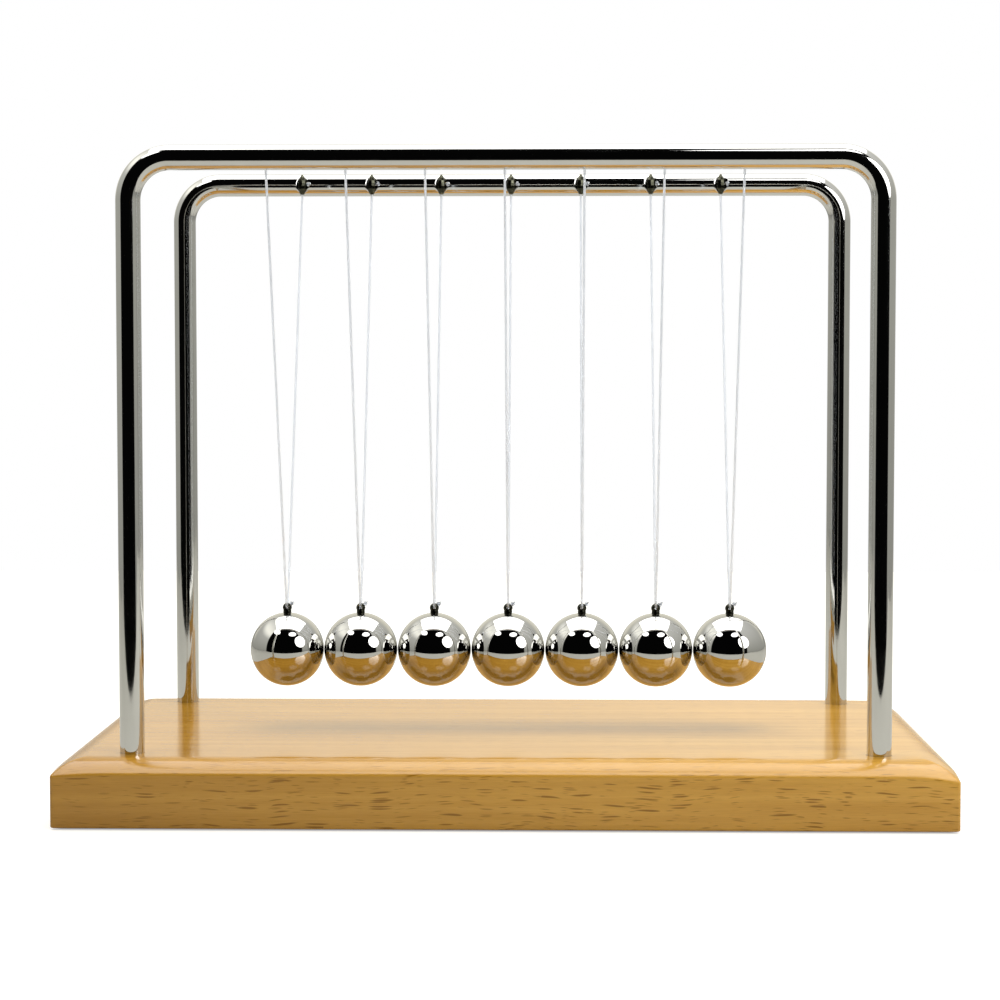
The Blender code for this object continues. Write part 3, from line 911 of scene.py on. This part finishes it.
def make_screw(row, side):
    """Pan-head screw with a cross recess."""
    node = "rod_screw_" + row + "_" + side
    low, high = low_high(node)
    centre = middle(node)
    head_radius = extent(node).x / 2
    flat_radius = head_radius / 2
    shoulder_height = 0.6 * SCREW_HEAD_HEIGHT
    profile = [(0.0, low.z), (flat_radius, low.z)]
    steps = 10
    for i in range(1, steps + 1):
        angle = 0.5 * math.pi * i / steps
        radius = flat_radius + (head_radius - flat_radius) * math.sin(angle)
        profile.append((radius, low.z + shoulder_height * (1.0 - math.cos(angle))))
    profile += [
        (head_radius, low.z + SCREW_HEAD_HEIGHT),
        (SCREW_RADIUS, low.z + SCREW_HEAD_HEIGHT),
        (SCREW_RADIUS, high.z - SCREW_TIP_CHAMFER),
        (SCREW_RADIUS - SCREW_TIP_CHAMFER, high.z),
        (0.0, high.z),
    ]
    bm = bmesh.new()
    lathe(bm, profile, 48, (centre.x, centre.y, 0.0))
    screw = finish_mesh("pan_screw_" + row + "_" + side, bm, zinc)
    half = RECESS_ARM_WIDTH / 2
    arm_corners = ((RECESS_ARM_LENGTH, -half), (RECESS_ARM_LENGTH, half), (half, half))
    outline = []
    for quarter in range(4):
        turn = Matrix.Rotation(0.5 * math.pi * quarter, 3, "Z")
        for corner in arm_corners:
            outline.append(turn @ Vector((*corner, 0.0)))
    tool = bmesh.new()
    rings = []
    for share, height in ((RECESS_TAPER, RECESS_DEPTH), (1.0, -RECESS_DEPTH)):
        origin = Vector((centre.x, centre.y, low.z + height))
        rings.append([tool.verts.new(origin + point * share) for point in outline])
    skin(tool, rings)
    cut(screw, "recess", tool)
    sharpen(screw, 40.0)
    place_piece(screw, "frame", "screw_zinc", node)


def make_pad(row, side):
    """Round rubber pad with a rounded foot edge."""
    node = "foot_pad_" + row + "_" + side
    low, high = low_high(node)
    centre = middle(node)
    profile = [(0.0, low.z)]
    steps = 6
    for i in range(steps + 1):
        angle = 0.5 * math.pi * i / steps
        radius = pad_radius - PAD_EDGE_ROUND * (1.0 - math.sin(angle))
        profile.append((radius, low.z + PAD_EDGE_ROUND * (1.0 - math.cos(angle))))
    profile += [(pad_radius, high.z), (0.0, high.z)]
    bm = bmesh.new()
    lathe(bm, profile, 56, (centre.x, centre.y, 0.0))
    pad = finish_mesh("rubber_pad_" + row + "_" + side, bm, rubber)
    place_piece(pad, "frame", "pad_rubber", node)


# ---------------------------------------------------------------- the object

make_board()
for row_name, row_sign in ROWS:
    make_rod(row_name, row_sign)
    for side_name, _ in SIDES:
        make_screw(row_name, side_name)
        make_pad(row_name, side_name)
    for ball_index in range(BALL_COUNT):
        make_anchor(row_name, row_sign, ball_index)
        make_stopper(row_name, row_sign, ball_index)
for ball_index in range(BALL_COUNT):
    make_ball(ball_index)
    make_lug(ball_index)
    make_line(ball_index)
    make_hitch(ball_index)

# ---------------------------------------------------------------- stage and light

TABLE_FRONT_Y = -0.37
TABLE_REACH = 0.9
TABLE_THICKNESS = 0.0005
TABLE_GLOW = 0.62
TABLE_CLOUD_SCALE = 3.0
TABLE_DEEP = (0.58, 0.57, 0.52)
TABLE_PALE = (0.62, 0.61, 0.56)
# Width of the fade of the painted contact shadow at the board's edges.
PAINTED_GAP_SHADOW_FADE = 0.006
WHITE = (1.0, 1.0, 1.0)


def seen_directly(tree):
    """1 for what the camera sees straight or through the nylon, 0 for reflections and bounced light."""
    path = tree.nodes.new("ShaderNodeLightPath")
    return calculated(tree, "MAXIMUM", path.outputs["Is Camera Ray"], path.outputs["Is Transmission Ray"])


def outside_painted_gap_shadow(tree, position):
    """1 on the open table, fading to 0 in the gap under the board, where taking off the glow paints a dark
    contact shadow line.
    """
    x, y, _ = split(tree, position)
    clear = 0.0
    for place, board_reach in ((x, board_high.x), (y, board_high.y)):
        away = calculated(tree, "ABSOLUTE", place)
        past = remapped(tree, away, board_reach - PAINTED_GAP_SHADOW_FADE, board_reach, 0.0, 1.0, smooth=True)
        clear = calculated(tree, "MAXIMUM", past, clear)
    return clear


def make_table():
    """Pale table top, burnt out to white in the picture. It stops a little way in front of the object."""
    material, tree, shader, position = new_material("white_table")
    cloud = noise_value(tree, position, TABLE_CLOUD_SCALE, detail=2.0)
    tint = colour_ramp(tree, cloud, (0.3, TABLE_DEEP), (0.7, TABLE_PALE))
    tree.links.new(tint, shader.inputs["Base Color"])
    shader.inputs["Roughness"].default_value = 0.85
    shader.inputs["Specular IOR Level"].default_value = 0.0
    shader.inputs["Emission Color"].default_value = solid(WHITE)
    glow = product(tree, seen_directly(tree), TABLE_GLOW)
    # Painted shadow: the glow is taken off under the board, so a dark contact line shows in the gap below
    # it.
    glow = product(tree, glow, outside_painted_gap_shadow(tree, position))
    tree.links.new(glow, shader.inputs["Emission Strength"])
    bm = bmesh.new()
    bmesh.ops.create_cube(bm, size=1.0)
    for vert in bm.verts:
        vert.co.x *= 2.0 * TABLE_REACH
        vert.co.y = TABLE_REACH if vert.co.y > 0 else TABLE_FRONT_Y
        vert.co.z = 0.0 if vert.co.z > 0 else -TABLE_THICKNESS
    table = finish_mesh("white_table", bm, material)


# The room's colour from below the object (0) through level (0.5) to overhead (1).
ROOM_BY_HEIGHT = (
    (0.45, (0.36, 0.36, 0.33)),
    (0.52, (0.47, 0.47, 0.43)),
    (0.70, (0.64, 0.64, 0.60)),
    (0.90, (0.82, 0.82, 0.79)),
    (1.00, (1.05, 1.05, 1.02)),
)
BACKDROP_COLOUR = (0.96, 0.93, 0.80)
LEFT_WALL_COLOUR = (1.60, 1.58, 1.46)
DARK_COLOUR = (0.002, 0.002, 0.002)
ROOM_FILL = 0.5

# The dark side of the studio, as slopes from straight ahead at the front.
DARK_LEFT_SLOPE = 2.05
DARK_RIGHT_SLOPE = 1.35
DARK_TOP_SLOPE = 2.75
LEFT_EDGE_BLUR = 0.04
EDGE_BLUR = 0.03
LEAST_AHEAD = 0.02


def dark_side(tree, east, north, up):
    """1 inside the dark opening at the front of the studio, 0 outside it."""
    ahead = calculated(tree, "MAXIMUM", product(tree, north, -1.0), LEAST_AHEAD)
    across = calculated(tree, "DIVIDE", east, ahead)
    upward = calculated(tree, "DIVIDE", up, ahead)
    dark = remapped(tree, north, -0.06, -0.02, 1.0, 0.0)
    for value, slope in ((across, DARK_RIGHT_SLOPE), (upward, DARK_TOP_SLOPE)):
        inside = remapped(tree, value, slope * (1.0 - EDGE_BLUR), slope * (1.0 + EDGE_BLUR), 1.0, 0.0)
        dark = product(tree, dark, inside)
    outer_left = -DARK_LEFT_SLOPE * (1.0 + LEFT_EDGE_BLUR)
    inner_left = -DARK_LEFT_SLOPE * (1.0 - LEFT_EDGE_BLUR)
    return product(tree, dark, remapped(tree, across, outer_left, inner_left, 0.0, 1.0))


def make_world():
    """White to the camera. To the object it is a grey room that brightens upwards.

    It has a paler backdrop, a pale wall high at the left and a dark front side. It fills the shadows weakly.
    """
    world = bpy.data.worlds.new("studio")
    world.use_nodes = True
    bpy.context.scene.world = world
    tree = world.node_tree
    east, north, up = split(tree, tree.nodes.new("ShaderNodeTexCoord").outputs["Generated"])
    room = colour_ramp(tree, remapped(tree, up, -1.0, 1.0, 0.0, 1.0), *ROOM_BY_HEIGHT)

    behind = remapped(tree, north, 0.55, 0.90, 0.0, 1.0, smooth=True)
    raised = remapped(tree, up, 0.05, 0.16, 0.0, 1.0, smooth=True)
    room = mixed(tree, product(tree, behind, raised), room, solid(BACKDROP_COLOUR))

    leftward = remapped(tree, east, -0.75, -0.30, 1.0, 0.0, smooth=True)
    high = remapped(tree, up, 0.45, 0.70, 0.0, 1.0, smooth=True)
    room = mixed(tree, product(tree, leftward, high), room, solid(LEFT_WALL_COLOUR))
    room = mixed(tree, dark_side(tree, east, north, up), room, solid(DARK_COLOUR))

    bounced = tree.nodes.new("ShaderNodeLightPath").outputs["Is Diffuse Ray"]
    fill = mixed(tree, 1.0, room, solid(dimmed(WHITE, ROOM_FILL)), "MULTIPLY")
    room = mixed(tree, bounced, room, fill)
    seen = mixed(tree, seen_directly(tree), room, solid(WHITE))
    tree.links.new(seen, tree.nodes["Background"].inputs["Color"])


def make_light(name, shape, wide, tall, energy, location):
    """Area light that the camera doesn't see. It points down until it is turned."""
    data = bpy.data.lights.new(name, "AREA")
    data.shape = shape
    data.size = wide
    data.size_y = tall
    data.energy = energy
    light = bpy.data.objects.new(name, data)
    light.location = location
    light.visible_camera = False
    bpy.context.collection.objects.link(light)
    return light


LAMP_DISTANCE = 1.6

# Name, azimuth, elevation, width and height as seen from the object in degrees, and radiance.
# Azimuth 0 is the front, and it turns to the right.
LAMPS = (
    ("round_lamp", 48.0, 26.0, 33.0, 33.0, 4.2),
    ("small_lamp_right", 26.0, 53.0, 22.0, 14.0, 3.0),
    ("small_lamp_left", -50.0, 53.0, 20.0, 14.0, 3.0),
)


def make_lamp(name, azimuth, elevation, wide_degrees, tall_degrees, radiance):
    """Far oval lamp that faces the object."""
    around = math.radians(azimuth)
    rise = math.radians(elevation)
    level = math.cos(rise)
    direction = Vector((math.sin(around) * level, -math.cos(around) * level, math.sin(rise)))
    wide = 2.0 * LAMP_DISTANCE * math.tan(math.radians(wide_degrees / 2))
    tall = 2.0 * LAMP_DISTANCE * math.tan(math.radians(tall_degrees / 2))
    energy = radiance * math.pi * 0.25 * math.pi * wide * tall
    location = direction * LAMP_DISTANCE + Vector((0.0, 0.0, ball_z))
    light = make_light(name, "ELLIPSE", wide, tall, energy, location)
    light.rotation_euler = (-direction).to_track_quat("-Z", "Y").to_euler()


SOFTBOX_HEIGHT = 1.0
SOFTBOX_FRONT_Y = -0.28
SOFTBOX_BACK_Y = 0.80
SOFTBOX_LEFT_X = -0.55
SOFTBOX_RIGHT_X = 0.60
SOFTBOX_RADIANCE = 2.6


def make_softbox():
    """Large rectangular softbox overhead."""
    wide = SOFTBOX_RIGHT_X - SOFTBOX_LEFT_X
    deep = SOFTBOX_BACK_Y - SOFTBOX_FRONT_Y
    centre_x = (SOFTBOX_LEFT_X + SOFTBOX_RIGHT_X) / 2
    centre_y = (SOFTBOX_FRONT_Y + SOFTBOX_BACK_Y) / 2
    energy = SOFTBOX_RADIANCE * math.pi * wide * deep
    make_light("overhead_softbox", "RECTANGLE", wide, deep, energy, (centre_x, centre_y, SOFTBOX_HEIGHT))


make_table()
make_world()
make_softbox()
for lamp in LAMPS:
    make_lamp(*lamp)
bpy.context.scene.view_settings.view_transform = "Standard"
